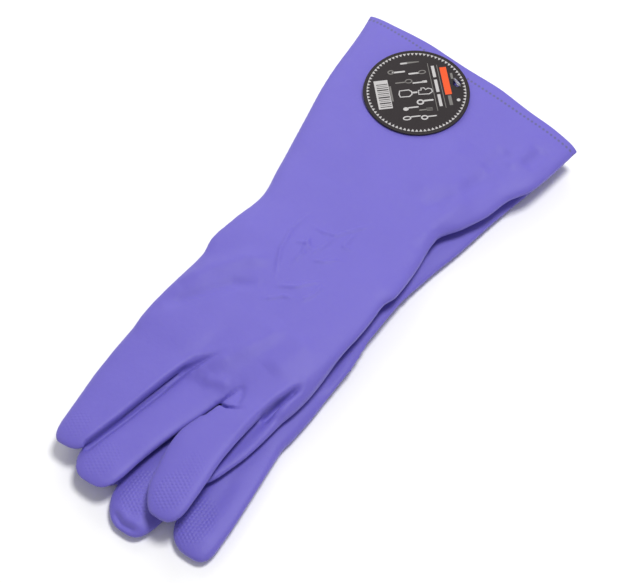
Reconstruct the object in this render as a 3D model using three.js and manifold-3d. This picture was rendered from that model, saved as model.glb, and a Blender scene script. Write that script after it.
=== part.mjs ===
// A pair of long household rubber gloves, lying flat one on the other, palms up, with a round card
// tag pinned through the cuffs. The left glove is underneath and the right glove on top.
// Millimetres, +Z up. The gloves lie along Y: cuffs towards +Y, fingertips towards -Y.
// The origin is the centre of the footprint, on the surface that the pair lies on.
import * as THREE from "three";
import { mergeVertices } from "three/addons/utils/BufferGeometryUtils.js";
import Module from "manifold-3d";

const wasm = await Module();
wasm.setup();

// ---------------------------------------------------------------- driving dimensions
const WALL = 0.8; // latex film with its lining
const GAP = 0.4; // between pieces that touch
const LAYER_GAP = 0.8; // between the two gloves, so that they can fan on the pin
const CUFF_END = 156.0; // mean Y of the cuff edges
const RIGHT_KNUCKLE_Y = -70; // where the right glove's finger stalls start
const LEFT_KNUCKLE_Y = -74;
const LEFT_HEIGHT = 8.0; // the left glove's flat height
const STALL_HEIGHT = 8.0;
const RIGHT_BASE = LEFT_HEIGHT + LAYER_GAP; // underside of the right cuff
const CUFF_CROWN = 2.6; // how far the upper cuff wall arches
const THUMB_HEIGHT = 2.4; // a folded, empty thumb stall
const PIN = { x: -6, y: 145, shaftR: 0.5, holeR: 1.2 };
const TAG = { radius: 29, thickness: 0.5, holeR: 2.2, holeInset: 6, turn: 230 };
const SIDE_STEPS = 4; // facets round each side fold
const TOP_STEPS = 6; // facets across the crowned top

const LATEX = { color: 0x7a6dcb, roughness: 0.55, metalness: 0 };
const CARD = { color: 0x2b272b, roughness: 0.5, metalness: 0 };
const NYLON = { color: 0xe9e9ee, roughness: 0.3, metalness: 0 };

// ---------------------------------------------------------------- geometry helpers

// A smooth value along Y through [y, value] points, given from the cuff towards the fingertips.
// It never overshoots its points.
function along(points) {
  const rate = (i) => (points[i + 1][1] - points[i][1]) / (points[i + 1][0] - points[i][0]);
  const last = points.length - 1;
  const slopes = points.map((_, i) => {
    if (i === 0 || i === last) return rate(Math.min(i, last - 1));
    const [a, b] = [rate(i - 1), rate(i)];
    return a * b > 0 ? (2 * a * b) / (a + b) : 0;
  });
  return (y) => {
    let i = 0;
    while (i < last - 1 && y < points[i + 1][0]) i++;
    const span = points[i + 1][0] - points[i][0];
    const t = THREE.MathUtils.clamp((y - points[i][0]) / span, 0, 1);
    const t2 = t * t;
    const t3 = t2 * t;
    return (
      (2 * t3 - 3 * t2 + 1) * points[i][1] +
      (t3 - 2 * t2 + t) * slopes[i] * span +
      (3 * t2 - 2 * t3) * points[i + 1][1] +
      (t3 - t2) * slopes[i + 1] * span
    );
  };
}

// One cross-section: flat underneath, round at the side folds, crowned on top. inset shrinks it.
function section(station, inset) {
  const { y, left, right, low, high, crown = 0, slant = 0 } = station;
  const x0 = left + inset;
  const x1 = right - inset;
  const z0 = low + inset;
  const z1 = high - inset;
  const halfHeight = (z1 - z0) / 2;
  const middle = (z0 + z1) / 2;
  const fold = Math.min(halfHeight, (x1 - x0) * 0.35);
  const ring = [];
  for (let i = 0; i <= SIDE_STEPS; i++) {
    const a = -Math.PI / 2 + (Math.PI * i) / SIDE_STEPS;
    ring.push([x1 - fold + fold * Math.cos(a), middle + halfHeight * Math.sin(a)]);
  }
  for (let i = 1; i < TOP_STEPS; i++) {
    const u = 1 - (2 * i) / TOP_STEPS;
    const x = (x0 + x1) / 2 + u * ((x1 - x0) / 2 - fold);
    ring.push([x, z1 + crown * (1 - u * u)]);
  }
  for (let i = 0; i <= SIDE_STEPS; i++) {
    const a = Math.PI / 2 + (Math.PI * i) / SIDE_STEPS;
    ring.push([x0 + fold + fold * Math.cos(a), middle + halfHeight * Math.sin(a)]);
  }
  return ring.map(([x, z]) => [x, y - slant * x, z]);
}

// A closed loft through the stations, which run towards -Y.
function loft(stations, inset = 0) {
  const rings = stations.map((s) => section(s, inset));
  const n = rings[0].length;
  const positions = rings.flat(2);
  const index = [];
  for (let r = 0; r < rings.length - 1; r++) {
    for (let i = 0; i < n; i++) {
      const a = r * n + i;
      const b = r * n + ((i + 1) % n);
      index.push(a, b, a + n, b, b + n, a + n);
    }
  }
  for (const [ring, flip] of [[0, false], [rings.length - 1, true]]) {
    for (let i = 1; i < n - 1; i++) {
      const fan = [ring * n, ring * n + i + 1, ring * n + i];
      index.push(...(flip ? fan.reverse() : fan));
    }
  }
  const geometry = new THREE.BufferGeometry();
  geometry.setAttribute("position", new THREE.Float32BufferAttribute(positions, 3));
  geometry.setIndex(index);
  return geometry;
}

function solid(geometry) {
  const bare = geometry.index ? geometry.clone() : geometry;
  for (const name of ["normal", "uv"]) bare.deleteAttribute(name);
  const merged = mergeVertices(bare, 1e-4);
  return new wasm.Manifold(
    new wasm.Mesh({
      numProp: 3,
      vertProperties: new Float32Array(merged.attributes.position.array),
      triVerts: new Uint32Array(merged.index.array),
    }),
  );
}

function geometryOf(manifold) {
  const mesh = manifold.getMesh();
  const geometry = new THREE.BufferGeometry();
  geometry.setAttribute("position", new THREE.BufferAttribute(mesh.vertProperties, 3));
  geometry.setIndex(new THREE.BufferAttribute(mesh.triVerts, 1));
  geometry.computeVertexNormals();
  return geometry;
}

// An upright cylinder between two heights.
function upright(radius, x, y, low, high, sides = 16) {
  return new THREE.CylinderGeometry(radius, radius, high - low, sides)
    .rotateX(Math.PI / 2)
    .translate(x, y, (low + high) / 2);
}

function mesh(name, geometry, look) {
  const made = new THREE.Mesh(geometry, new THREE.MeshStandardMaterial(look));
  made.name = name;
  return made;
}

// ---------------------------------------------------------------- glove bodies

// A sleeve of film, open at the cuff and at the knuckles, with its holes for the tag pin.
function gloveBody({ name, left, right, low, high, crown, knuckleY, pinFrom }) {
  const ys = [0, 10, 26, 46, 68, 90, 112, 134, 154, 172, 190, 208].map(
    (back, i, all) => CUFF_END - (back / all.at(-1)) * (CUFF_END - knuckleY),
  );
  const slant = along([[CUFF_END, 0.13], [90, 0.06], [30, 0], [knuckleY, 0]]);
  const at = (y) => ({
    y,
    left: left(y),
    right: right(y),
    low: low(y),
    high: high(y),
    crown: crown(y),
    slant: slant(y),
  });
  const stations = ys.map(at);
  const first = stations[0];
  const last = stations.at(-1);
  const hollow = [
    { ...first, y: first.y + 2 },
    ...stations,
    { ...last, y: last.y - 2 },
  ];
  const hole = upright(PIN.holeR, PIN.x, PIN.y, pinFrom, 40);
  const shell = solid(loft(stations)).subtract(solid(loft(hollow, WALL))).subtract(solid(hole));
  return mesh(name, geometryOf(shell), LATEX);
}

// ---------------------------------------------------------------- finger stalls

// A finger stall: a flattened tube of film, open at the knuckle and closed round the fingertip.
function stall({ name, left, right, low, high, knuckleY, tipY, tipX, tipLength }) {
  const start = knuckleY - GAP;
  const roundFrom = tipY + tipLength;
  const straight = [0, 0.2, 0.4, 0.6, 0.8, 1].map((t) => start + t * (roundFrom - start));
  const round = [25, 45, 62, 76, 86].map((deg) => roundFrom - tipLength * Math.sin(rad(deg)));
  const stationAt = (y, shrink = 1) => {
    const middle = (low(y) + high(y)) / 2;
    const halfHeight = ((high(y) - low(y)) / 2) * Math.sqrt(shrink);
    const t = Math.max(0, (roundFrom - y) / tipLength);
    const centre = THREE.MathUtils.lerp((left(y) + right(y)) / 2, tipX, t * t);
    const halfWidth = ((right(y) - left(y)) / 2) * shrink;
    return {
      y,
      left: centre - halfWidth,
      right: centre + halfWidth,
      low: middle - halfHeight,
      high: middle + halfHeight,
    };
  };
  const roundness = (y) => Math.sqrt(Math.max(0, 1 - ((roundFrom - y) / tipLength) ** 2));
  const stations = [
    ...straight.map((y) => stationAt(y)),
    ...round.map((y) => stationAt(y, Math.max(0.12, roundness(y)))),
  ];
  const first = stations[0];
  const hollow = [{ ...first, y: first.y + 2 }, ...stations.slice(0, -2)];
  const shell = solid(loft(stations)).subtract(solid(loft(hollow, WALL)));
  return mesh(name, geometryOf(shell), LATEX);
}

// An empty thumb stall folded flat under the palm: the two films lie together.
function foldedThumb(name, { x, y, z, turn, length, rootWidth, tipWidth }) {
  const stationAt = (back, halfWidth, share = 1) => ({
    y: -back,
    left: -halfWidth,
    right: halfWidth,
    low: (THUMB_HEIGHT * (1 - share)) / 2,
    high: THUMB_HEIGHT - (THUMB_HEIGHT * (1 - share)) / 2,
  });
  const tipStart = length - tipWidth / 2;
  const geometry = loft([
    stationAt(0, rootWidth / 2),
    stationAt(length * 0.3, rootWidth * 0.46),
    stationAt(tipStart, tipWidth / 2),
    stationAt(length - tipWidth * 0.25, tipWidth * 0.43, 0.9),
    stationAt(length - tipWidth * 0.08, tipWidth * 0.27, 0.75),
    stationAt(length, tipWidth * 0.1, 0.6),
  ]);
  const thumb = mesh(name, geometry, LATEX);
  thumb.position.set(x, y, z);
  thumb.rotation.z = rad(turn);
  return thumb;
}

function rad(degrees) {
  return (degrees * Math.PI) / 180;
}

// ---------------------------------------------------------------- the right glove, on top

// The palm rises over the folded thumb.
const rightPalmLow = along([
  [CUFF_END, RIGHT_BASE],
  [36, RIGHT_BASE],
  [6, 12.8],
  [-36, 12.8],
  [-58, 10.4],
  [RIGHT_KNUCKLE_Y, RIGHT_BASE],
]);
const rightPalmHigh = along([
  [CUFF_END, 17.4],
  [36, 17.6],
  [0, 20.8],
  [-40, 20.8],
  [RIGHT_KNUCKLE_Y, 20.2],
]);

const rightBody = gloveBody({
  name: "right_glove_body",
  left: along([[CUFF_END, -74], [112, -69], [78, -61], [46, -54], [23, -51], [-10, -53.5], [-70, -54]]),
  right: along([[CUFF_END, 72], [112, 65], [84, 55], [60, 44.5], [30, 43.5], [0, 44], [-50, 43.5], [-70, 42]]),
  low: rightPalmLow,
  high: rightPalmHigh,
  crown: along([[CUFF_END, CUFF_CROWN], [90, 2], [30, 0.6], [-70, 0]]),
  knuckleY: RIGHT_KNUCKLE_Y,
  pinFrom: RIGHT_BASE - 5,
});

const flat = (value) => () => value;
const rightStalls = [
  {
    name: "right_index_finger",
    left: along([[-70, -53.5], [-103, -51.6], [-125, -49.2], [-145, -46]]),
    right: along([[-70, -18.6], [-80, -17.4], [-142, -31.6]]),
    low: flat(RIGHT_BASE),
    high: flat(RIGHT_BASE + STALL_HEIGHT),
    tipY: -145,
    tipX: -39,
    tipLength: 12,
  },
  {
    name: "right_middle_finger",
    left: along([[-70, -17.9], [-80, -16.5], [-142, -30.2], [-156, -32]]),
    right: along([[-70, 12.4], [-80, 12.4], [-113, 1], [-146, -7.5]]),
    low: flat(RIGHT_BASE),
    high: flat(RIGHT_BASE + STALL_HEIGHT),
    tipY: -156,
    tipX: -17.5,
    tipLength: 14,
  },
  {
    name: "right_ring_finger",
    left: along([[-70, 12.9], [-80, 12.9], [-113, 4.2], [-138, 8.5], [-153, 12]]),
    right: along([[-70, 30], [-85, 30.6], [-127, 31], [-153, 31]]),
    low: flat(14.6),
    high: flat(21),
    tipY: -153,
    tipX: 22,
    tipLength: 14,
  },
  {
    name: "right_little_finger",
    left: along([[-70, 30.6], [-84, 22], [-100, 18], [-122, 13]]),
    right: along([[-70, 42], [-84, 40], [-100, 37.8], [-122, 31.5]]),
    low: flat(8.4),
    high: flat(14.2),
    tipY: -131,
    tipX: 21,
    tipLength: 10,
  },
].map((s) => stall({ knuckleY: RIGHT_KNUCKLE_Y, ...s }));

const rightThumb = foldedThumb("right_thumb", {
  x: -44,
  y: -4,
  z: 10,
  turn: 68,
  length: 60,
  rootWidth: 30,
  tipWidth: 22,
});

// ---------------------------------------------------------------- the left glove, underneath

const leftBody = gloveBody({
  name: "left_glove_body",
  left: along([[CUFF_END, -71], [112, -66], [78, -58], [46, -50.5], [20, -47.5], [-20, -49], [-74, -47]]),
  right: along([[CUFF_END, 70], [117, 62], [90, 56.5], [61, 52], [38, 48], [10, 45], [-33, 46.8], [-74, 46]]),
  low: along([[CUFF_END, 0], [40, 0], [10, 2.8], [-38, 2.8], [-62, 0], [LEFT_KNUCKLE_Y, 0]]),
  high: along([[CUFF_END, LEFT_HEIGHT], [30, LEFT_HEIGHT], [5, 9.6], [-25, 9.6], [-45, LEFT_HEIGHT], [-74, 8]]),
  crown: flat(0),
  knuckleY: LEFT_KNUCKLE_Y,
  pinFrom: LEFT_HEIGHT / 2,
});

const leftStalls = [
  {
    name: "left_index_finger",
    left: along([[-74, 23.2], [-110, 24.5], [-157, 25.5]]),
    right: along([[-74, 46], [-100, 47], [-137, 50.4], [-157, 51]]),
    tipY: -157.5,
    tipX: 41,
    tipLength: 14,
  },
  {
    name: "left_middle_finger",
    left: along([[-74, -5.4], [-110, -6.4], [-148, -6.8], [-165, -5]]),
    right: along([[-74, 22.6], [-110, 23.6], [-148, 22.6], [-165, 22]]),
    tipY: -165.5,
    tipX: 9.5,
    tipLength: 16,
  },
  {
    name: "left_ring_finger",
    left: along([[-74, -28.6], [-110, -30.5], [-152, -30]]),
    right: along([[-74, -6], [-110, -7.2], [-152, -9]]),
    tipY: -151,
    tipX: -19,
    tipLength: 13,
  },
  {
    name: "left_little_finger",
    left: along([[-74, -47], [-100, -49.4], [-132, -49.8]]),
    right: along([[-74, -29.2], [-100, -31.4], [-132, -32]]),
    tipY: -131,
    tipX: -41.5,
    tipLength: 11,
  },
].map((s) => stall({ knuckleY: LEFT_KNUCKLE_Y, low: flat(0), high: flat(7.6), ...s }));

const leftThumb = foldedThumb("left_thumb", {
  x: 42,
  y: -2,
  z: 0,
  turn: -68,
  length: 60,
  rootWidth: 30,
  tipWidth: 22,
});

// ---------------------------------------------------------------- card tag and its pin

const cuffTop = rightPalmHigh(CUFF_END) + CUFF_CROWN;
const tagLow = cuffTop + GAP;
const tagHigh = tagLow + TAG.thickness;
const headLow = tagHigh + 3;
const headHigh = headLow + 0.9;
const barZ = LEFT_HEIGHT - WALL - 1.4;

function cardTag() {
  const reach = TAG.radius - TAG.holeInset;
  const disc = new THREE.Shape().absarc(
    reach * Math.cos(rad(TAG.turn)),
    reach * Math.sin(rad(TAG.turn)),
    TAG.radius,
    0,
    Math.PI * 2,
  );
  disc.holes.push(new THREE.Path().absarc(0, 0, TAG.holeR, 0, Math.PI * 2, true));
  const geometry = new THREE.ExtrudeGeometry(disc, {
    depth: TAG.thickness,
    bevelEnabled: false,
    curveSegments: 48,
  });
  const tag = mesh("card_tag", geometry, CARD);
  tag.position.set(PIN.x, PIN.y, tagLow);
  return tag;
}

// Nylon tag pin: a paddle head over the card, a filament through both cuffs, a bar inside the lower one.
function tagPin() {
  const filament = solid(upright(PIN.shaftR, 0, 0, barZ, headHigh - 0.2, 12));
  const head = solid(upright(3, 0, 0, headLow, headHigh, 20).scale(1, 0.5, 1));
  const bar = solid(new THREE.CylinderGeometry(0.8, 0.8, 9, 12).translate(0, 0, barZ));
  const pin = mesh("tag_pin", geometryOf(filament.add(head).add(bar)), NYLON);
  pin.position.set(PIN.x, PIN.y, 0);
  return pin;
}

// ---------------------------------------------------------------- assembly

const gloves = new THREE.Group();
gloves.add(leftBody, ...leftStalls, leftThumb);
gloves.add(rightBody, ...rightStalls, rightThumb);
gloves.add(cardTag(), tagPin());

export default gloves;
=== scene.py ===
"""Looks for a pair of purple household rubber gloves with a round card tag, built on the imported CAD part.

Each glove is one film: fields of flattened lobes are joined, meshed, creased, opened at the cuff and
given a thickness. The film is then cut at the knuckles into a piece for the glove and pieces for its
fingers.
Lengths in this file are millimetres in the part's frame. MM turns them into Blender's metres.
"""

import math

import bmesh
import bpy
import numpy as np
import openvdb
from mathutils import Matrix, Vector, noise


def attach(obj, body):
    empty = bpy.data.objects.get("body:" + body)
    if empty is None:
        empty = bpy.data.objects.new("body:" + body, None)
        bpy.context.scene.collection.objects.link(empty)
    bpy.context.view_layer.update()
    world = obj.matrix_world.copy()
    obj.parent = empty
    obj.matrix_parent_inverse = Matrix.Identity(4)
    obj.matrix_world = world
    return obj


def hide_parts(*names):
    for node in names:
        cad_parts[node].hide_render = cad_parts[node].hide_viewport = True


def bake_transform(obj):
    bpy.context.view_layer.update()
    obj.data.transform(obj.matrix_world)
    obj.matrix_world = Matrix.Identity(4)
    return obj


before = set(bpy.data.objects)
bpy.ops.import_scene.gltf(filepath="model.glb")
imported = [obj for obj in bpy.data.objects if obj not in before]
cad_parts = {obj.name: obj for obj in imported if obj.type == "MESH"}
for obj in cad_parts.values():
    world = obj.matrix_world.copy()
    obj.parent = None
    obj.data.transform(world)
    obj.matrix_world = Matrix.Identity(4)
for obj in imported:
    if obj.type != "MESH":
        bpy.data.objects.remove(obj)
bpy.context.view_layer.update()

MM = 0.001

# The films' grid step, their thickness, and how far in from the cuff the inner skin is kept.
VOXEL = 0.85
FILM = 0.55
LINING_END = 114.0

# The cuffs are cut along y = CUFF_END - CUFF_SLANT * x. Each film is parted at its knuckle line.
CUFF_END = 156.0
CUFF_SLANT = 0.13
CUFF_BOW = 3.4
RIGHT_KNUCKLE = -70.2
LEFT_KNUCKLE = -74.2

# The honeycomb grip's wave, and the row of pressed dots inside the cuff's edge.
GRIP_PITCH = 2.0
DOT_PITCH = 2.6
DOT_INSET = 3.4

# The pin, and the tag that hangs on it and leans a little on the crown of the cuff.
PIN_XY = (-6.0, 145.0)
TAG_RADIUS = 29.0
TAG_REACH = 23.0
TAG_TURN = 230.0
TAG_Z = 20.55
TAG_TOP = 0.5
TAG_HOLE = 2.3
TAG_LEAN = 3
LEAN_AXIS = (0.819, 0.574, 0)
PRINT_TURN = 43

LATEX = (0.156, 0.127, 0.54)
DOT_TONE = (0.10, 0.10, 0.17)
CARD = (0.022, 0.016, 0.018)
INK = (0.56, 0.54, 0.54)
DIM_INK = (0.20, 0.19, 0.18)
ACCENT = (0.86, 0.10, 0.02)
NYLON = (0.86, 0.86, 0.92)


# ---------------------------------------------------------------- curves and fields


def curve(*points):
    """A smooth value along Y through (y, value) points that never overshoots them."""
    ys, values = np.array(sorted(points), float).T
    rates = np.diff(values) / np.diff(ys)
    slopes = np.empty_like(values)
    slopes[0], slopes[-1] = rates[0], rates[-1]
    a, b = rates[:-1], rates[1:]
    same = a * b > 0
    slopes[1:-1] = np.where(same, 2 * a * b / np.where(same, a + b, 1), 0)

    def at(y):
        y = np.clip(y, ys[0], ys[-1])
        i = np.clip(np.searchsorted(ys, y) - 1, 0, len(ys) - 2)
        span = ys[i + 1] - ys[i]
        t = (y - ys[i]) / span
        rise = (2 * t**3 - 3 * t**2 + 1) * values[i] + (3 * t**2 - 2 * t**3) * values[i + 1]
        return rise + span * ((t**3 - 2 * t**2 + t) * slopes[i] + (t**3 - t**2) * slopes[i + 1])

    return at


def level(value):
    return lambda y: np.full_like(np.asarray(y, float), value)


class Field:
    """A signed field on a regular grid: negative inside the film's outer surface."""

    def __init__(self, low, high):
        self.low = np.array(low, float)
        counts = [int(math.ceil((h - l) / VOXEL)) + 1 for l, h in zip(low, high)]
        axes = [l + VOXEL * np.arange(n) for l, n in zip(low, counts)]
        self.x = axes[0][:, None, None]
        self.y = axes[1][None, :, None]
        self.z = axes[2][None, None, :]
        self.value = np.full(counts, 30.0)

    def lobe(self, left, right, low, high, tip, root=None, blend=2.0, side=2.5, top=2.2, tilt=0.0):
        """Joins a flattened tube whose right edge is raised by tilt.

        tip and root are (y, length of the rounding, x that it rounds towards or None).
        """
        y = self.y
        cx = (left(y) + right(y)) / 2
        half_width = (right(y) - left(y)) / 2
        cz = (low(y) + high(y)) / 2
        half_height = (high(y) - low(y)) / 2
        ends = np.zeros_like(y)
        for sign, end in ((-1, tip), (1, root)):
            if end is None:
                continue
            reach = np.clip(1 - sign * (end[0] - y) / end[1], 0, None)
            ends = ends + reach**2.2
            if end[2] is not None:
                cx = cx + (end[2] - cx) * np.clip(reach, 0, 1) ** 2
        u = np.abs((self.x - cx) / half_width)
        lean = tilt * np.clip((self.x - cx) / half_width, -1.2, 1.2)
        v = np.abs((self.z - cz - lean) / half_height)
        f = u**side + v**top + ends - 1
        gradient = np.gradient(f, VOXEL)
        steep = np.sqrt(sum(g * g for g in gradient))
        distance = np.clip(f / np.maximum(steep, 0.02), -30, 30)
        self.join(distance, blend(y) if callable(blend) else blend)

    def join(self, other, blend):
        h = np.clip(0.5 + 0.5 * (self.value - other) / blend, 0, 1)
        mixed = self.value + (other - self.value) * h
        self.value = mixed - blend * h * (1 - h)

    def groove(self, line, radius, blend):
        """Presses an open channel with its floor along a line of (x, y, z) points."""
        line = np.array(line, float)
        reach = radius + 3 * blend + 2
        spans = []
        for axis, values in enumerate((self.x, self.y, self.z)):
            low, high = line[:, axis].min() - reach, line[:, axis].max() + reach
            index = np.flatnonzero((values.ravel() > low) & (values.ravel() < high))
            spans.append(slice(index[0], index[-1] + 1 if axis < 2 else None))
        x, y, z = self.x[spans[0]], self.y[:, spans[1]], self.z[:, :, spans[2]]
        nearest = 1e9
        for a, b in zip(line[:-1], line[1:]):
            run = b - a
            t = ((x - a[0]) * run[0] + (y - a[1]) * run[1]) / (run[0] ** 2 + run[1] ** 2)
            t = np.clip(t, 0, 1)
            under = np.minimum(z - a[2] - t * run[2], 0)
            beside = (x - a[0] - t * run[0]) ** 2 + (y - a[1] - t * run[1]) ** 2
            nearest = np.minimum(nearest, beside + under**2)
        cut = radius - np.sqrt(nearest)
        part = self.value[spans[0], spans[1], spans[2]]
        h = np.clip(0.5 - 0.5 * (part - cut) / blend, 0, 1)
        self.value[spans[0], spans[1], spans[2]] = part + (cut - part) * h + blend * h * (1 - h)

    def surface(self):
        grid = openvdb.FloatGrid(5.0)
        grid.copyFromArray(np.clip(self.value, -5, 5).astype(np.float32), tolerance=0.0)
        points, quads = grid.convertToQuads(0.0)
        return points * VOXEL + self.low, quads


# ---------------------------------------------------------------- relief on the film


def along_line(xy, line):
    """Distance from each point to a polyline, and the share of its length at the nearest place."""
    line = np.array(line, float)
    best = np.full(len(xy), 1e9)
    share = np.zeros(len(xy))
    lengths = np.linalg.norm(np.diff(line, axis=0), axis=1)
    before = 0.0
    for a, b, length in zip(line[:-1], line[1:], lengths):
        t = np.clip(((xy - a) @ (b - a)) / length**2, 0, 1)
        d = np.linalg.norm(xy - (a + t[:, None] * (b - a)), axis=1)
        closer = d < best
        best[closer] = d[closer]
        share[closer] = ((before + t * length) / lengths.sum())[closer]
        before += length
    return best, share


def relief(xy, folds):
    """Height added by folds: (height, width, [(x, y), ...]). A fold fades out at both ends."""
    total = np.zeros(len(xy))
    for height, width, line in folds:
        d, share = along_line(xy, line)
        fade = np.clip(np.sin(np.pi * np.clip(share, 0.04, 0.96)) * 1.6, 0, 1)
        total += height * fade * np.exp(-((d / width) ** 2))
    return total


def ripples(points, size, seed):
    """Slow, uneven waviness, about -1 to 1."""
    offset = Vector((seed * 37.1, seed * 11.7, seed * 5.3))
    return np.array([noise.noise(Vector(p) / size + offset) for p in points])


# ---------------------------------------------------------------- film meshes


def vertex_normals(points, quads):
    a, b, c, d = (points[quads[:, i]] for i in range(4))
    face = np.cross(c - a, d - b)
    normals = np.zeros_like(points)
    for i in range(4):
        np.add.at(normals, quads[:, i], face)
    return normals / np.maximum(np.linalg.norm(normals, axis=1, keepdims=True), 1e-9)


def relax(points, quads, rounds, share=0.5):
    """Laplacian smoothing, with a step back each time so that the shape keeps its size."""
    edges = np.concatenate([quads[:, [i, (i + 1) % 4]] for i in range(4)])
    counts = np.bincount(edges.ravel(), minlength=len(points)).astype(float)[:, None]
    for i in range(rounds * 2):
        total = np.zeros_like(points)
        np.add.at(total, edges[:, 0], points[edges[:, 1]])
        np.add.at(total, edges[:, 1], points[edges[:, 0]])
        step = share if i % 2 == 0 else -share * 1.04
        points = points + step * (total / counts - points)
    return points


def film(name, field, folds, under_folds, wave, seed):
    """The outer skin of one glove as a mesh in metres, opened at the cuff."""
    points, quads = field.surface()
    points = relax(points, quads, 4)
    normals = vertex_normals(points, quads)
    up = np.clip(normals[:, 2] * 1.6, 0, 1)
    down = np.clip(-normals[:, 2] * 1.6, 0, 1)
    height = relief(points[:, :2], folds) * up + relief(points[:, :2], under_folds) * down
    coarse = ripples(points, 38.0, seed)
    fine = ripples(points, 13.0, seed + 4)
    height = height + wave * (coarse + 0.35 * fine) * np.maximum(up, 0.3 * down)
    points = points + normals * height[:, None]
    points[:, 2] = np.maximum(points[:, 2], 0.0)

    mesh = bpy.data.meshes.new(name)
    mesh.from_pydata((points * MM).tolist(), [], quads[:, ::-1].tolist())
    mesh.update()
    open_cuff(mesh)
    return mesh


def open_cuff(mesh):
    """Cuts the film off along the slanted edge of the cuff."""
    bm = bmesh.new()
    bm.from_mesh(mesh)
    bmesh.ops.bisect_plane(
        bm,
        geom=bm.verts[:] + bm.edges[:] + bm.faces[:],
        dist=1e-6,
        plane_co=(0, CUFF_END * MM, 0),
        plane_no=(CUFF_SLANT, 1, 0),
        clear_outer=True,
    )
    bm.to_mesh(mesh)
    bm.free()


def bow_cuff(mesh, reach):
    """Pushes the middle of the cuff's edge out a little, so that it isn't ruler straight."""
    for v in mesh.vertices:
        x, y = v.co.x / MM, v.co.y / MM
        near = min(max((y - 118) / 36, 0), 1)
        middle = max(0.0, 1 - (x / 74) ** 2)
        v.co.y += reach * MM * near * near * (middle - 0.25 + 0.10 * math.sin(x / 7.5))


def outward(mesh):
    """Flips the mesh if its faces point into the film."""
    top = max(mesh.polygons, key=lambda p: p.center.z)
    if top.normal.z < 0:
        mesh.flip_normals()


def with_lining(mesh):
    """Adds the rim of the cuff and the inner skin near it, which is all that can be seen of it."""
    made = bpy.data.objects.new("film", mesh)
    bpy.context.collection.objects.link(made)
    solidify = made.modifiers.new("film", "SOLIDIFY")
    solidify.thickness = FILM * MM
    solidify.offset = -1
    solidify.use_rim = True
    depsgraph = bpy.context.evaluated_depsgraph_get()
    thick = bpy.data.meshes.new_from_object(made.evaluated_get(depsgraph))
    bpy.data.objects.remove(made)
    outer = len(mesh.vertices)
    bm = bmesh.new()
    bm.from_mesh(thick)
    bm.verts.index_update()
    deep = [v for v in bm.verts if v.index >= outer and v.co.y < LINING_END * MM]
    bmesh.ops.delete(bm, geom=deep, context="VERTS")
    bm.to_mesh(thick)
    bm.free()
    return thick


def read(items, attribute, width=1, kind=float):
    """One attribute of mesh items as an array."""
    values = np.empty(len(items) * width, kind)
    items.foreach_get(attribute, values)
    return values.reshape(-1, width) if width > 1 else values


def cut_up(mesh, pieces, grips):
    """Splits the film into named pieces. pieces is a list of (name, test on face centres)."""
    co = read(mesh.vertices, "co", 3)
    normals = read(mesh.vertices, "normal", 3)
    centres = read(mesh.polygons, "center", 3) / MM
    loops = read(mesh.loops, "vertex_index", kind=int)
    starts = read(mesh.polygons, "loop_start", kind=int)
    sizes = read(mesh.polygons, "loop_total", kind=int)
    grip = grip_strength(co / MM, normals, grips)
    free = np.ones(len(centres), bool)
    made = {}
    for name, test in pieces:
        chosen = free & test(centres)
        free &= ~chosen
        faces = [loops[s : s + n] for s, n in zip(starts[chosen], sizes[chosen])]
        made[name] = film_piece(name, co, normals, grip, faces)
    return made


def film_piece(name, co, normals, grip, faces):
    """One piece of the film, with the whole film's normals, so that its cut edge doesn't show."""
    used = np.unique(np.concatenate(faces))
    index = np.full(len(co), -1)
    index[used] = np.arange(len(used))
    piece = bpy.data.meshes.new(name)
    piece.from_pydata(co[used].tolist(), [], [index[f].tolist() for f in faces])
    piece.shade_smooth()
    piece.normals_split_custom_set_from_vertices(normals[used].tolist())
    return film_object(name, piece, co[used], grip[used])


def film_object(name, mesh, rest, grip):
    """Links the film and gives it the rest and grip attributes, which its material reads."""
    place = mesh.attributes.new("rest", "FLOAT_VECTOR", "POINT")
    place.data.foreach_set("vector", np.asarray(rest, np.float32).ravel())
    mask = mesh.attributes.new("grip", "FLOAT", "POINT")
    mask.data.foreach_set("value", np.asarray(grip, np.float32))
    made = bpy.data.objects.new(name, mesh)
    bpy.context.collection.objects.link(made)
    return made


def grip_strength(points, normals, grips):
    """How strongly the honeycomb grip shows: (strength, x, y, radius across, radius along)."""
    total = np.zeros(len(points))
    for strength, x, y, across, along in grips:
        r = np.hypot((points[:, 0] - x) / across, (points[:, 1] - y) / along)
        total = np.maximum(total, strength * np.clip((1.15 - r) / 0.35, 0, 1))
    return total * np.clip(normals[:, 2] * 2, 0, 1)


# ---------------------------------------------------------------- the right glove, on top


# Folds are (height, width, line) and grips are (strength, x, y, radius across, radius along).
RIGHT_FOLDS = [
    (1.8, 5.0, [(-50, -48), (-42, -30), (-31, -16), (-18, -6)]),
    (-1.7, 3.6, [(-50, -63), (-38, -47), (-27, -31), (-15, -23)]),
    (0.7, 2.0, [(-10, -64), (-18, -76), (-23, -92), (-27, -116)]),
    (0.7, 3.0, [(-8, -83), (0, -80), (6, -78)]),
    (1.5, 5.0, [(-10, -78), (-2, -64), (6, -48), (10, -34)]),
    (1.0, 6.0, [(17, -64), (21, -50), (25, -36)]),
    (-0.9, 2.0, [(11, -75), (14, -81), (16, -88)]),
    (0.8, 2.2, [(25, -104), (26, -88), (28.4, -72), (33, -57)]),
    (0.7, 2.2, [(34, -50), (36, -62), (35, -76), (33, -92)]),
    (1.6, 6.0, [(28, 96), (36, 78), (34, 60), (35, 40)]),
    (-1.7, 5.0, [(43, 108), (34, 84), (24, 62)]),
    (-1.3, 4.5, [(40, 124), (37, 104)]),
    (-1.2, 4.0, [(57, 136), (53, 118)]),
    (0.9, 4.0, [(48, 134), (46, 112)]),
    (1.2, 8.0, [(20, 118), (17, 92), (16, 66)]),
    (0.9, 9.0, [(-40, 120), (-30, 80), (-24, 50)]),
]
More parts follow.
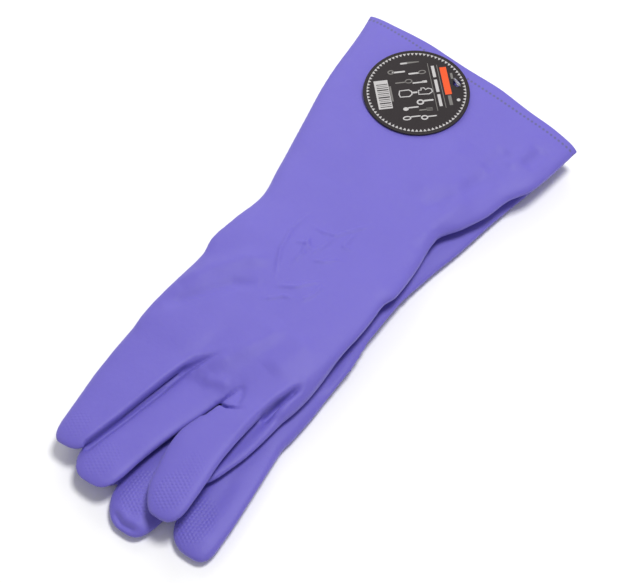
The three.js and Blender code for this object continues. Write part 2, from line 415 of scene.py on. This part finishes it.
RIGHT_GRIPS = [
    (0.30, -41, -138, 7, 8),
    (0.42, -21, -144, 8.5, 10),
    (0.75, 19, -141, 8.5, 11),
    (0.30, 19, -126, 6, 9),
]


def right_hand(field):
    """The cuff, wrist and palm."""
    left = curve(
        (175, -78.5),
        (156, -74.6),
        (112, -69.4),
        (80, -62.6),
        (46, -55),
        (23, -50.5),
        (4, -52.5),
        (-12, -54.5),
        (-24, -52.5),
        (-60, -54.4),
        (-90, -54),
    )
    right = curve(
        (175, 75),
        (156, 70.6),
        (112, 63.5),
        (97, 56),
        (84, 53),
        (70, 47),
        (54, 39),
        (32, 41.5),
        (12, 42.8),
        (3, 40.6),
        (-12, 41.2),
        (-40, 39.3),
        (-62, 38.6),
        (-80, 37),
    )
    low = curve((170, 8.8), (36, 8.8), (6, 12.2), (-36, 12.2), (-60, 9.4), (-90, 8.8))
    high = curve(
        (170, 20.2), (120, 19.8), (60, 19.2), (30, 19.8), (0, 21.6), (-40, 21.8), (-66, 19.6), (-92, 16.5)
    )
    field.lobe(left, right, low, high, (-85, 16, None), side=5.5, top=2.1)


def right_fingers(field):
    """Middle, index, ring and little fingers, each with its right rim raised."""
    web = curve((-60, 5), (-84, 2.2), (-94, 0.5))
    lift = level(8.8)
    field.lobe(
        curve((-40, -16), (-76, -20), (-100, -26), (-142, -33.8), (-158, -33)),
        curve((-40, 8), (-78, 8), (-92, 5.5), (-113, -0.5), (-134, -5), (-158, -8)),
        lift,
        curve((-40, 16.5), (-70, 17), (-92, 15.2), (-158, 14.8)),
        (-157.2, 15, -19),
        (-40, 24, None),
        blend=web,
        side=3.2,
        tilt=1.6,
    )
    field.lobe(
        curve((-40, -53.4), (-70, -55.1), (-103, -54.4), (-125, -52.1), (-152, -49)),
        curve((-40, -22), (-76, -18), (-100, -21.5), (-146, -29.5)),
        curve((-60, 8.8), (-90, 10.8), (-150, 10.2)),
        curve((-40, 17.5), (-70, 19), (-105, 18.4), (-146, 16.4)),
        (-148.6, 12, -40.5),
        (-30, 24, None),
        blend=web,
        side=3.4,
        tilt=2.1,
    )
    field.lobe(
        curve((-40, 10), (-78, 8), (-96, 5), (-114, 1), (-138, 5), (-154, 10)),
        curve((-40, 34), (-66, 30.5), (-85, 28.5), (-112, 28), (-130, 29.5), (-154, 31)),
        curve((-30, 9.5), (-84, 11.5), (-104, 14), (-154, 13.2)),
        curve((-40, 18), (-70, 19.6), (-104, 21), (-154, 19.4)),
        (-155, 15, 21),
        (-36, 26, None),
        blend=web,
        side=3.2,
        tilt=1.8,
    )
    field.lobe(
        curve((-40, 30), (-70, 29), (-84, 23), (-100, 17.5), (-122, 13)),
        curve((-40, 39), (-62, 38.8), (-76, 37.4), (-100, 34.8), (-116, 31), (-134, 25)),
        level(8.4),
        curve((-40, 16), (-66, 14.6), (-90, 13.4), (-130, 12.6)),
        (-132, 12, 18),
        (-36, 20, None),
        blend=web,
        side=3.2,
        tilt=1.5,
    )


def right_creases(field):
    """The channels between the fingers: index and middle, middle and ring, ring and little."""
    field.groove(
        [
            (-7, -66, 21.5),
            (-13, -75, 18),
            (-18, -84, 14.5),
            (-21.3, -100, 12.8),
            (-25.8, -122, 12.4),
            (-30.8, -143, 12),
        ],
        1.3,
        1.2,
    )
    field.groove([(-14, -80, 17.5), (-10.5, -86, 17), (-3, -90, 19)], 0.5, 1.4)
    field.groove([(12, -73, 21.5), (9.6, -80, 17.5), (7.4, -88, 13.5), (5, -98, 12)], 0.9, 1.0)
    field.groove([(6, -89, 15), (12, -90, 17.2), (19, -87, 21)], 0.6, 1.2)
    field.groove([(36.4, -58, 21.5), (34, -64, 17.5), (31, -74, 13.6), (29.8, -83, 13.4)], 1.2, 1.5)


def right_film():
    field = Field((-80, -166, 2), (80, 170, 29))
    right_hand(field)
    right_fingers(field)
    right_creases(field)
    mesh = film("right_film", field, RIGHT_FOLDS + leaf_strokes(0.8), [], 0.75, 2)
    bow_cuff(mesh, CUFF_BOW)
    outward(mesh)
    pieces = [
        ("right_glove_film", lambda c: c[:, 1] > RIGHT_KNUCKLE),
        ("right_index_film", lambda c: c[:, 0] < -18.5 + 0.165 * (c[:, 1] + 76)),
        ("right_middle_film", lambda c: (c[:, 0] < 8 + 0.2 * (c[:, 1] + 78)) & (c[:, 2] < 17.2)),
        ("right_ring_film", lambda c: c[:, 0] > -60),
    ]
    return cut_up(with_lining(mesh), pieces, RIGHT_GRIPS)


def leaf_strokes(height):
    """Fine raised leaf strokes over the palm."""
    strokes = [
        [(-16, 22), (-8, 22), (-2, 24), (3, 32), (9, 41)],
        [(-17, 8), (-11, 11), (-6, 8)],
        [(-2, 24), (-3, 14), (-6, 6)],
        [(5, 31), (5, 20), (10, 21)],
        [(-3, 3), (3, 6), (8, 12)],
        [(-9, -20), (0, -15), (9, -4)],
        [(11, -6), (10, -14), (7, -21)],
        [(-9, -30), (-2, -23), (3, -21)],
        [(-13, 16), (-9, 4), (-10, -4)],
        [(-21, 30), (-23, 14), (-20, 0), (-12, -16)],
    ]
    return [(height, 0.95, stroke) for stroke in strokes]


# ---------------------------------------------------------------- the left glove, underneath


# Folds on the side that faces up, and on the side that faces the floor.
LEFT_FOLDS = [
    (-1.3, 1.5, [(-3, -160), (5, -163.4), (14, -162.6)]),
    (0.8, 2.2, [(-2, -157), (6, -160), (15, -159)]),
    (-1.5, 3.0, [(24, -102), (22.6, -90), (22.6, -80)]),
    (1.0, 3.0, [(44, -92), (46, -112), (50, -134), (50, -148)]),
    (-0.8, 5.0, [(34, -110), (36, -136), (37, -150)]),
    (-0.8, 4.0, [(6, -120), (8, -150)]),
    (0.8, 4.0, [(47, -60), (43, -30), (42, 4), (46, 40)]),
]
LEFT_UNDER_FOLDS = [
    (0.9, 5.0, [(-30, 120), (-24, 70), (-20, 30)]),
    (-1.0, 4.0, [(20, 130), (14, 80), (16, 40)]),
    (-1.2, 2.0, [(-6, -74), (-6, -62)]),
    (-1.2, 2.0, [(22, -74), (21, -62)]),
    (-1.2, 2.0, [(-29, -74), (-28, -62)]),
]
LEFT_GRIPS = [(0.8, 33, -143, 9, 13), (0.9, 4, -145, 10.5, 13)]


def left_hand(field):
    """The cuff, wrist and palm, with room underneath for the folded thumb."""
    left = curve(
        (175, -75), (156, -72), (112, -67), (78, -58.5), (46, -50.5), (20, -47), (-20, -48.5), (-74, -47)
    )
    right = curve(
        (175, 67),
        (156, 64.4),
        (136, 62),
        (117, 59.8),
        (90, 54.5),
        (61, 50),
        (38, 45.6),
        (15, 43),
        (-10, 42.8),
        (-33, 45),
        (-66, 44),
        (-84, 43),
    )
    low = curve((170, 0), (40, 0), (10, 2.6), (-38, 2.6), (-60, 0), (-80, 0))
    high = curve((170, 8.2), (30, 8.2), (5, 9.8), (-25, 9.8), (-45, 8.2), (-80, 8))
    field.lobe(left, right, low, high, (-92, 14, None), side=4.6, top=2.1)


def left_fingers(field):
    """Index, middle, ring and little fingers, flat on the floor."""
    floor = level(0)
    field.lobe(
        curve((-50, 24), (-84, 22.4), (-110, 22.6), (-158, 24.6)),
        curve((-50, 44), (-84, 43), (-100, 44.4), (-137, 48.6), (-158, 50)),
        floor,
        curve((-50, 7), (-90, 8), (-158, 7.8)),
        (-158, 15, 40),
        (-50, 20, None),
        side=3,
        blend=3,
    )
    field.lobe(
        curve((-50, -4), (-84, -5), (-110, -7.6), (-148, -9.6), (-165, -7.5)),
        curve((-50, 22), (-84, 22.2), (-110, 22.2), (-148, 19.4), (-165, 17.5)),
        floor,
        curve((-50, 7), (-90, 8), (-165, 8)),
        (-165.5, 17, 7.5),
        (-50, 20, None),
        side=3,
        blend=3,
    )
    field.lobe(
        curve((-50, -28), (-84, -29), (-110, -30), (-152, -29)),
        curve((-50, -6), (-84, -6), (-110, -8), (-152, -10)),
        floor,
        level(7.4),
        (-151, 13, -19),
        (-50, 20, None),
        side=3,
        blend=3,
    )
    field.lobe(
        curve((-50, -47), (-84, -47.4), (-104, -49), (-132, -49)),
        curve((-50, -30), (-84, -30), (-104, -31.6), (-132, -32)),
        floor,
        level(7.2),
        (-131, 11, -41),
        (-50, 20, None),
        side=3,
        blend=3,
    )


def left_film():
    field = Field((-80, -176, -4), (80, 170, 14))
    left_hand(field)
    left_fingers(field)
    mesh = film("left_film", field, LEFT_FOLDS, LEFT_UNDER_FOLDS, 0.45, 7)
    outward(mesh)
    pieces = [
        ("left_glove_film", lambda c: c[:, 1] > LEFT_KNUCKLE),
        ("left_index_film", lambda c: c[:, 0] > 22.8),
        ("left_middle_film", lambda c: c[:, 0] > -6.5 + 0.03 * (c[:, 1] + 84)),
        ("left_ring_film", lambda c: c[:, 0] > -29.6 + 0.03 * (c[:, 1] + 84)),
        ("left_little_film", lambda c: c[:, 0] < 60),
    ]
    return cut_up(with_lining(mesh), pieces, LEFT_GRIPS)


def thumb_points(root, tip, z, root_width, tip_width, rings, sides):
    """Rings of points along the flap from root to tip. The tip is round."""
    root, tip = np.array(root, float), np.array(tip, float)
    run = tip - root
    length = np.linalg.norm(run)
    run = run / length
    across = np.array([-run[1], run[0]])
    points = []
    for i in range(rings + 1):
        t = i / rings
        half = 0.5 * (root_width + (tip_width - root_width) * t)
        past = max(0.0, (t * length - (length - tip_width / 2)) / (tip_width / 2))
        half = max(0.4, half * math.sqrt(max(0.0, 1 - past**2)))
        centre = root + run * t * length
        for k in range(sides):
            a = 2 * math.pi * k / sides
            sx = math.copysign(abs(math.cos(a)) ** 0.8, math.cos(a))
            sz = math.copysign(abs(math.sin(a)) ** 0.7, math.sin(a))
            rise = 1.15 * sz * min(1.0, half / 4) + 0.12 * math.sin(9 * t + 2 * sx)
            x, y = centre + across * half * sx
            points.append((x * MM, y * MM, max(0.0, z + 1.2 + rise) * MM))
    return points


def folded_thumb(name, root, tip, z, root_width, tip_width):
    """An empty thumb stall, folded flat: a slightly puffed two-film flap from root to tip."""
    rings, sides = 40, 28
    points = thumb_points(root, tip, z, root_width, tip_width, rings, sides)
    faces = []
    for i in range(rings):
        for k in range(sides):
            j = (k + 1) % sides
            a, b = i * sides, (i + 1) * sides
            faces.append((a + k, a + j, b + j, b + k))
    faces.append(tuple(reversed(range(sides))))
    faces.append(tuple(range(rings * sides, (rings + 1) * sides)))
    mesh = bpy.data.meshes.new(name)
    mesh.from_pydata(points, [], faces)
    mesh.shade_smooth()
    bm = bmesh.new()
    bm.from_mesh(mesh)
    bmesh.ops.recalc_face_normals(bm, faces=bm.faces)
    bm.to_mesh(mesh)
    bm.free()
    return film_object(name, mesh, points, np.zeros(len(points)))


# ---------------------------------------------------------------- materials


class Nodes:
    """Short calls for building a node tree."""

    def __init__(self, name):
        self.material = bpy.data.materials.new(name)
        self.material.use_nodes = True
        self.tree = self.material.node_tree
        self.tree.nodes.clear()
        output = self.tree.nodes.new("ShaderNodeOutputMaterial")
        self.shader = self.tree.nodes.new("ShaderNodeBsdfPrincipled")
        self.tree.links.new(self.shader.outputs[0], output.inputs["Surface"])

    def new(self, kind, **inputs):
        node = self.tree.nodes.new(kind)
        for key, value in inputs.items():
            self.put(node, key, value)
        return node

    def put(self, node, key, value):
        if isinstance(key, str) and hasattr(node, key) and key not in node.inputs:
            setattr(node, key, value)
            return
        socket = node.inputs[key]
        if isinstance(value, bpy.types.NodeSocket):
            self.tree.links.new(value, socket)
        else:
            socket.default_value = value

    def math(self, operation, a, b=0.0, c=0.0):
        node = self.tree.nodes.new("ShaderNodeMath")
        node.operation = operation
        for i, value in enumerate((a, b, c)):
            self.put(node, i, value)
        return node.outputs[0]

    def mix(self, factor, a, b):
        node = self.tree.nodes.new("ShaderNodeMix")
        node.data_type = "RGBA"
        self.put(node, 0, factor)
        for i, value in ((6, a), (7, b)):
            self.put(node, i, value if isinstance(value, bpy.types.NodeSocket) else (*value, 1))
        return node.outputs[2]

    def attribute(self, name):
        node = self.tree.nodes.new("ShaderNodeAttribute")
        node.attribute_name = name
        return node

    def noise(self, vector, scale, detail=3.0):
        return self.new("ShaderNodeTexNoise", Vector=vector, Scale=scale, Detail=detail).outputs[0]

    def bump(self, height, strength, distance, normal=None):
        node = self.new("ShaderNodeBump", Height=height, Strength=strength, Distance=distance)
        if normal is not None:
            self.put(node, "Normal", normal)
        return node.outputs[0]


def latex():
    n = Nodes("latex")
    place = n.attribute("rest").outputs["Vector"]
    grip = n.attribute("grip").outputs["Fac"]
    split = n.new("ShaderNodeSeparateXYZ", Vector=place)
    x, y = split.outputs[0], split.outputs[1]
    wave = 2 * math.pi / (GRIP_PITCH * MM) * 2 / math.sqrt(3)
    waves = []
    for degrees in (0, 60, 120):
        a = math.radians(degrees)
        run = n.math("ADD", n.math("MULTIPLY", x, math.cos(a)), n.math("MULTIPLY", y, math.sin(a)))
        waves.append(n.math("COSINE", n.math("MULTIPLY", run, wave)))
    cells = n.math("ADD", n.math("ADD", waves[0], waves[1]), waves[2])
    cells = n.math("MULTIPLY", n.math("MULTIPLY", cells, 0.33), grip)
    grain = n.noise(place, 2600.0, 2.0)
    cloud = n.noise(place, 38.0, 3.0)
    normal = n.bump(grain, 0.10, 0.0003)
    normal = n.bump(n.noise(place, 420.0, 3.0), 0.16, 0.0006, normal)
    normal = n.bump(cells, 0.42, 0.0005, normal)
    dots = cuff_dots(n, x, y)
    normal = n.bump(dots, -0.7, 0.0005, normal)
    shade = n.math("MULTIPLY", n.math("SUBTRACT", cloud, 0.35), 0.5)
    tone = n.mix(shade, LATEX, [c * 0.9 for c in LATEX])
    tone = n.mix(n.math("MULTIPLY", dots, 0.75), tone, DOT_TONE)
    n.put(n.shader, "Base Color", tone)
    n.put(n.shader, "Roughness", n.math("ADD", 0.47, n.math("MULTIPLY", cloud, 0.14)))
    n.put(n.shader, "Specular IOR Level", 0.35)
    n.put(n.shader, "Subsurface Weight", 0.12)
    n.put(n.shader, "Subsurface Radius", (0.4, 0.3, 1.0))
    n.put(n.shader, "Subsurface Scale", 0.0016)
    n.put(n.shader, "Sheen Weight", 0.12)
    n.put(n.shader, "Sheen Roughness", 0.5)
    n.put(n.shader, "Normal", normal)
    return n.material


def cuff_dots(n, x, y):
    """A row of small pressed dots just inside the cuff's edge: 1 in a dot, 0 outside."""
    inside = n.math("SUBTRACT", CUFF_END * MM, n.math("ADD", y, n.math("MULTIPLY", x, CUFF_SLANT)))
    across = n.math("SUBTRACT", inside, DOT_INSET * MM)
    pitch = DOT_PITCH * MM
    step = n.math("MULTIPLY", n.math("FRACT", n.math("DIVIDE", x, pitch)), pitch)
    along = n.math("ABSOLUTE", n.math("SUBTRACT", step, pitch / 2))
    squares = n.math("ADD", n.math("POWER", across, 2.0), n.math("POWER", along, 2.0))
    edge = {"From Min": 0.45 * MM, "From Max": 1.0 * MM, "To Min": 1.0, "To Max": 0.0}
    return n.new("ShaderNodeMapRange", Value=n.math("SQRT", squares), **edge).outputs[0]


def plain(name, colour, roughness, grain=0.0):
    n = Nodes(name)
    place = n.new("ShaderNodeTexCoord").outputs["Object"]
    if grain:
        tone = n.mix(n.noise(place, 900.0), colour, [c * (1 - grain) for c in colour])
        n.put(n.shader, "Base Color", tone)
        n.put(n.shader, "Normal", n.bump(n.noise(place, 2400.0), 0.12, 0.0002))
    else:
        n.put(n.shader, "Base Color", (*colour, 1))
    n.put(n.shader, "Roughness", roughness)
    n.put(n.shader, "Specular IOR Level", 0.22)
    return n.material


def clear_nylon():
    n = Nodes("clear_nylon")
    n.put(n.shader, "Base Color", (*NYLON, 1))
    n.put(n.shader, "Roughness", 0.25)
    n.put(n.shader, "Transmission Weight", 0.75)
    n.put(n.shader, "IOR", 1.5)
    return n.material


# ---------------------------------------------------------------- the card tag


class Print:
    """Flat printed shapes on the card, in a frame where +u runs along the icons' handles."""

    def __init__(self, turn, z):
        self.turn = math.radians(turn)
        self.z = z
        self.points, self.faces, self.inks = [], [], []

    def place(self, u, v):
        c, s = math.cos(self.turn), math.sin(self.turn)
        return (u * c - v * s, u * s + v * c, self.z)

    def polygon(self, uv, ink):
        start = len(self.points)
        self.points += [self.place(u, v) for u, v in uv]
        self.faces.append(tuple(range(start, start + len(uv))))
        self.inks.append(ink)

    def box(self, u, v, width, height, ink):
        w, h = width / 2, height / 2
        self.polygon([(u - w, v - h), (u + w, v - h), (u + w, v + h), (u - w, v + h)], ink)

    def oval(self, u, v, across, along, ink, sides=20):
        turn = np.linspace(0, 2 * math.pi, sides, False)
        self.polygon([(u + across * math.cos(a), v + along * math.sin(a)) for a in turn], ink)

    def handle(self, u, v, length, width, ink):
        """A bar with round ends."""
        r, half = width / 2, length / 2
        right = [(u + half + r * math.cos(a), v + r * math.sin(a)) for a in np.linspace(-1.57, 1.57, 7)]
        left = [(u - half - r * math.cos(a), v - r * math.sin(a)) for a in np.linspace(-1.57, 1.57, 7)]
        self.polygon(right + left, ink)

    def loop(self, uv, width, ink):
        """A closed line of even width with mitred corners."""
        p = np.array(uv, float)
        ahead = np.roll(p, -1, axis=0) - p
        ahead /= np.linalg.norm(ahead, axis=1, keepdims=True)
        behind = np.roll(ahead, 1, axis=0)
        corner = np.stack([-(ahead + behind)[:, 1], (ahead + behind)[:, 0]], axis=1)
        corner /= np.maximum(np.linalg.norm(corner, axis=1, keepdims=True), 0.5)
        outer, inner = p - corner * width / 2, p + corner * width / 2
        for i in range(len(p)):
            j = (i + 1) % len(p)
            self.polygon([outer[i], outer[j], inner[j], inner[i]], ink)

    def ring(self, u, v, across, along, width, ink, sides=16):
        turn = np.linspace(0, 2 * math.pi, sides, False)
        self.loop([(u + across * math.cos(a), v + along * math.sin(a)) for a in turn], width, ink)


def stitch_ring(p):
    """Small triangles around the card's edge, pointing inwards."""
    count, outer, inner, half = 76, 27.0, 25.4, 0.034
    for i in range(count):
        a = 2 * math.pi * i / count
        corners = ((outer, a - half), (outer, a + half), (inner, a))
        p.polygon([(r * math.cos(turn), r * math.sin(turn)) for r, turn in corners], 1)


def bar_block(p):
    """A white block with dark stripes, laid 0.02 mm above it."""
    p.box(-18.2, 0.5, 7.6, 19.5, 1)
    p.box(-13.7, 0.5, 1.0, 10.5, 2)
    v = -8.2
    p.z += 0.02
    for width in (0.5, 0.3, 0.8, 0.3, 0.5, 0.9, 0.3, 0.5, 0.3, 0.8, 0.5, 0.3, 0.5):
        p.box(-17.9, v + width / 2, 6.2, width, 0)
        v += width + 0.78
    p.z -= 0.02


def plain_bars(p):
    """Two rules, and plain bars where a card has its wording."""
    p.box(9.2, 2.2, 0.35, 33, 2)
    p.box(14.0, 2.0, 0.35, 30, 2)
    for v, length in ((12.6, 8.0), (2.6, 8.6), (-7.4, 8.2)):
        p.box(11.6, v, 1.7, length, 1)
    p.box(17.0, 5.4, 3.6, 19.0, 3)
    p.box(17.2, -8.2, 1.8, 6.6, 2)
    p.box(20.8, 8.2, 1.3, 4.0, 2)
    p.oval(21.6, -8.6, 1.0, 1.0, 1)


def print_on_card(z):
    """Everything printed on the card. Inks are 0 card, 1 light, 2 dim and 3 accent."""
    p = Print(PRINT_TURN, z)
    stitch_ring(p)
    bar_block(p)
    plain_bars(p)
    icons(p)
    return p


PAN = [(-9.6, -0.6), (-9.2, -2.4), (-4.2, -2.6), (-2.6, -1.2), (-2.6, 0.6), (-4.0, 1.9), (-9.0, 1.8)]
MITT = [
    (1.0, -1.9),
    (6.6, -2.3),
    (8.6, -1.0),
    (8.4, 0.8),
    (6.6, 1.6),
    (5.2, 0.9),
    (4.4, 2.2),
    (2.8, 2.2),
    (2.8, 0.9),
    (1.2, 0.8),
]


def icons(p):
    """Kitchen tools in two rows, with a pan and an oven mitt between them."""
    # knife, ladle, whisk, spoon and spatula on one side
    p.handle(-3.5, 20.4, 3.2, 1.1, 1)
    p.polygon([(-1.8, 19.9), (4.6, 20.2), (5.0, 20.8), (-1.8, 21.2)], 2)
    p.handle(-7.4, 14.8, 6.2, 1.1, 1)
    p.ring(-11.6, 15.2, 1.5, 1.2, 0.7, 2)
    p.handle(0.6, 12.8, 4.8, 1.1, 1)
    p.ring(5.3, 13.1, 1.9, 1.1, 0.6, 2)
    p.handle(-7.4, 7.4, 5.4, 0.8, 2)
    p.ring(-3.0, 7.8, 1.8, 1.2, 0.6, 2)
    p.handle(2.0, 6.2, 5.4, 0.9, 1)
    p.box(5.6, 6.4, 2.6, 1.5, 1)
    # pan with a handle, and oven mitt
    p.loop(PAN, 0.7, 1)
    p.handle(-0.9, -0.3, 1.8, 1.1, 1)
    p.loop(MITT, 0.65, 1)
    # skimmer, spoon, fork and two slotted spoons on the other side
    p.handle(5.4, -6.6, 4.6, 1.1, 1)
    p.ring(0.9, -7.2, 1.6, 1.4, 0.9, 1)
    p.handle(-3.4, -10.2, 4.8, 0.9, 1)
    p.oval(-7.6, -10.8, 1.5, 1.2, 1)
    p.handle(1.4, -12.6, 3.4, 0.8, 2)
    for dv in (-0.8, 0, 0.8):
        p.box(5.0, -12.6 + dv, 3.4, 0.35, 2)
    p.handle(-3.2, -16.4, 4.6, 0.8, 1)
    p.ring(-8.0, -17.0, 2.0, 1.1, 0.7, 1)
    p.handle(5.6, -17.4, 4.2, 0.8, 1)
    p.ring(1.4, -17.8, 1.6, 1.2, 0.8, 1)


def card_disc(disc):
    """The card's top, rolled rim and back as one mesh, around disc."""
    rings = [(8, 0), (16, 0), (24, 0), (27.6, 0), (28.5, 0.05), (28.9, 0)]
    rings += [(TAG_RADIUS, -0.2), (TAG_RADIUS, -0.45)]
    turns = np.linspace(0, 2 * math.pi, 128, False)
    bm = bmesh.new()
    last = [bm.verts.new((disc.x, disc.y, TAG_TOP))]
    for radius, rise in rings:
        now = [
            bm.verts.new((disc.x + radius * math.cos(a), disc.y + radius * math.sin(a), TAG_TOP + rise))
            for a in turns
        ]
        for i in range(len(now)):
            j = (i + 1) % len(now)
            if len(last) == 1:
                bm.faces.new((last[0], now[i], now[j]))
            else:
                bm.faces.new((last[i], now[i], now[j], last[j]))
        last = now
    bm.faces.new(list(reversed(last)))
    mesh = bpy.data.meshes.new("card")
    bm.to_mesh(mesh)
    bm.free()
    return mesh


def card_tag():
    """The card with its punched hole and its print, leaning up from its edge on the glove."""
    turn = math.radians(TAG_TURN)
    disc = Vector((TAG_REACH * math.cos(turn), TAG_REACH * math.sin(turn), 0))
    card = bpy.data.objects.new("tag_card", card_disc(disc))
    bpy.context.collection.objects.link(card)
    punch(card, TAG_HOLE)
    add_print(card, disc, TAG_TOP + 0.03)
    near = disc + Vector((TAG_RADIUS * LEAN_AXIS[1], -TAG_RADIUS * LEAN_AXIS[0], 0))
    lean = Matrix.Rotation(math.radians(TAG_LEAN), 4, Vector(LEAN_AXIS))
    card.data.transform(Matrix.Translation(near) @ lean @ Matrix.Translation(-near))
    card.data.transform(Matrix.Diagonal((MM, MM, MM, 1)))
    card.location = Vector((PIN_XY[0], PIN_XY[1], TAG_Z)) * MM
    return card


def punch(card, radius):
    """Cuts the round hole that the pin goes through."""
    bpy.ops.mesh.primitive_cylinder_add(vertices=40, radius=radius, depth=6)
    cutter = bpy.context.object
    boolean = card.modifiers.new("hole", "BOOLEAN")
    boolean.object = cutter
    boolean.operation = "DIFFERENCE"
    boolean.solver = "EXACT"
    depsgraph = bpy.context.evaluated_depsgraph_get()
    cut = bpy.data.meshes.new_from_object(card.evaluated_get(depsgraph))
    card.modifiers.clear()
    card.data = cut
    bpy.data.objects.remove(cutter)


def add_print(card, centre, z):
    """Gives the card its inks and lays the printed shapes just above it."""
    card.data.materials.clear()
    card.data.materials.append(plain("card", CARD, 0.42, 0.25))
    card.data.materials.append(plain("ink", INK, 0.5, 0.2))
    card.data.materials.append(plain("dim_ink", DIM_INK, 0.5, 0.2))
    card.data.materials.append(plain("accent_ink", ACCENT, 0.5, 0.15))
    p = print_on_card(z)
    bm = bmesh.new()
    bm.from_mesh(card.data)
    for f in bm.faces:
        f.material_index = 0
    verts = [bm.verts.new((x + centre.x, y + centre.y, z)) for x, y, z in p.points]
    for face, ink in zip(p.faces, p.inks):
        made = bm.faces.new([verts[i] for i in face])
        made.material_index = ink
        made.normal_update()
        if made.normal.z < 0:
            made.normal_flip()
    bm.to_mesh(card.data)
    bm.free()


def tag_pin():
    """A clear nylon pin: paddle over the card, filament, and bar inside the lower cuff."""
    bm = bmesh.new()

    def tube(radius, a, b):
        a, b = Vector(a), Vector(b)
        size = {"radius1": radius, "radius2": radius, "depth": (b - a).length}
        made = bmesh.ops.create_cone(bm, cap_ends=True, segments=20, **size)
        turn = (b - a).to_track_quat("Z", "Y").to_matrix().to_4x4()
        matrix = Matrix.Translation((a + b) / 2) @ turn
        bmesh.ops.transform(bm, matrix=matrix, verts=made["verts"])

    tube(0.42, (0, 0, 6), (0, 0, 23.6))
    tube(0.75, (-2.6, 1.2, 23.6), (2.6, -1.2, 23.6))
    tube(0.8, (0, -4.4, 5.8), (0, 4.4, 5.8))
    mesh = bpy.data.meshes.new("pin")
    bm.to_mesh(mesh)
    bm.free()
    mesh.transform(Matrix.Diagonal((MM, MM, MM, 1)))
    mesh.shade_smooth()
    pin = bpy.data.objects.new("pin_nylon", mesh)
    bpy.context.collection.objects.link(pin)
    pin.location = (PIN_XY[0] * MM, PIN_XY[1] * MM, 0)
    return pin


# ---------------------------------------------------------------- set, light and camera


def light(name, energy, size, place):
    """A square area light in metres, aimed at the origin."""
    data = bpy.data.lights.new(name, "AREA")
    data.energy = energy
    data.size = size
    made = bpy.data.objects.new(name, data)
    bpy.context.collection.objects.link(made)
    made.location = place
    made.rotation_euler = (Vector((0, 0, 0)) - Vector(place)).to_track_quat("-Z", "Y").to_euler()
    return made


def studio():
    """A plain pale floor, white surroundings, one soft light above and a weaker one behind."""
    bpy.ops.mesh.primitive_plane_add(size=6, location=(0, 0, -0.0004))
    floor = bpy.context.object
    floor.name = "floor"
    n = Nodes("floor")
    n.put(n.shader, "Base Color", (0.97, 0.97, 0.97, 1))
    n.put(n.shader, "Roughness", 0.9)
    floor.data.materials.append(n.material)
    world = bpy.data.worlds.new("studio")
    bpy.context.scene.world = world
    world.use_nodes = True
    background = world.node_tree.nodes["Background"]
    background.inputs["Color"].default_value = (1.0, 1.0, 1.0, 1)
    background.inputs["Strength"].default_value = 0.40
    light("key", 18.5, 0.45, (0.25, 0.30, 1.6))
    light("back", 2.6, 0.6, (-0.6, 0.6, 0.6))
    bpy.context.scene.view_settings.view_transform = "Standard"


def camera():
    """Looks at the origin from the fingers' side. view_width metres fill the picture there."""
    azimuth, elevation, distance, view_width = math.radians(35), math.radians(55), 0.9, 0.3218
    data = bpy.data.cameras.new("camera")
    made = bpy.data.objects.new("camera", data)
    bpy.context.collection.objects.link(made)
    level_part = math.cos(elevation)
    away = Vector((math.sin(azimuth) * level_part, -math.cos(azimuth) * level_part, math.sin(elevation)))
    made.location = away * distance
    made.rotation_euler = (-away).to_track_quat("-Z", "Y").to_euler()
    data.sensor_width = 36
    data.lens = data.sensor_width * distance / view_width
    bpy.context.scene.camera = made


# ---------------------------------------------------------------- assembly


def cover(piece, body, node):
    """A piece that moves with one body and stands in for one CAD solid."""
    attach(piece, body)
    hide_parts(node)


def blend_fingers(films, side):
    """Bakes each finger's film in place and hides the CAD finger solids that it stands in for."""
    for finger in ("index", "middle", "ring", "little"):
        name = f"{side}_{finger}_film"
        if name not in films:
            continue
        nodes = [f"{side}_{finger}_finger"]
        if name == "right_ring_film":
            nodes.append("right_little_finger")
        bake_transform(films[name])
        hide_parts(*nodes)


def gloves():
    rubber = latex()
    right = right_film()
    left = left_film()
    right_thumb = folded_thumb("right_thumb_film", (-44, -10), (8, 12), 10.0, 24, 20)
    left_thumb = folded_thumb("left_thumb_film", (36, -4), (-13, 16), 0.0, 16, 19)
    for piece in [*right.values(), *left.values(), right_thumb, left_thumb]:
        piece.data.materials.append(rubber)
    cover(right["right_glove_film"], "right_glove", "right_glove_body")
    cover(left["left_glove_film"], "left_glove", "left_glove_body")
    cover(right_thumb, "right_glove", "right_thumb")
    cover(left_thumb, "left_thumb_flap", "left_thumb")
    blend_fingers(right, "right")
    blend_fingers(left, "left")


def tag():
    cover(card_tag(), "tag", "card_tag")
    pin = tag_pin()
    pin.data.materials.append(clear_nylon())
    cover(pin, "pin", "tag_pin")


gloves()
tag()
studio()
camera()
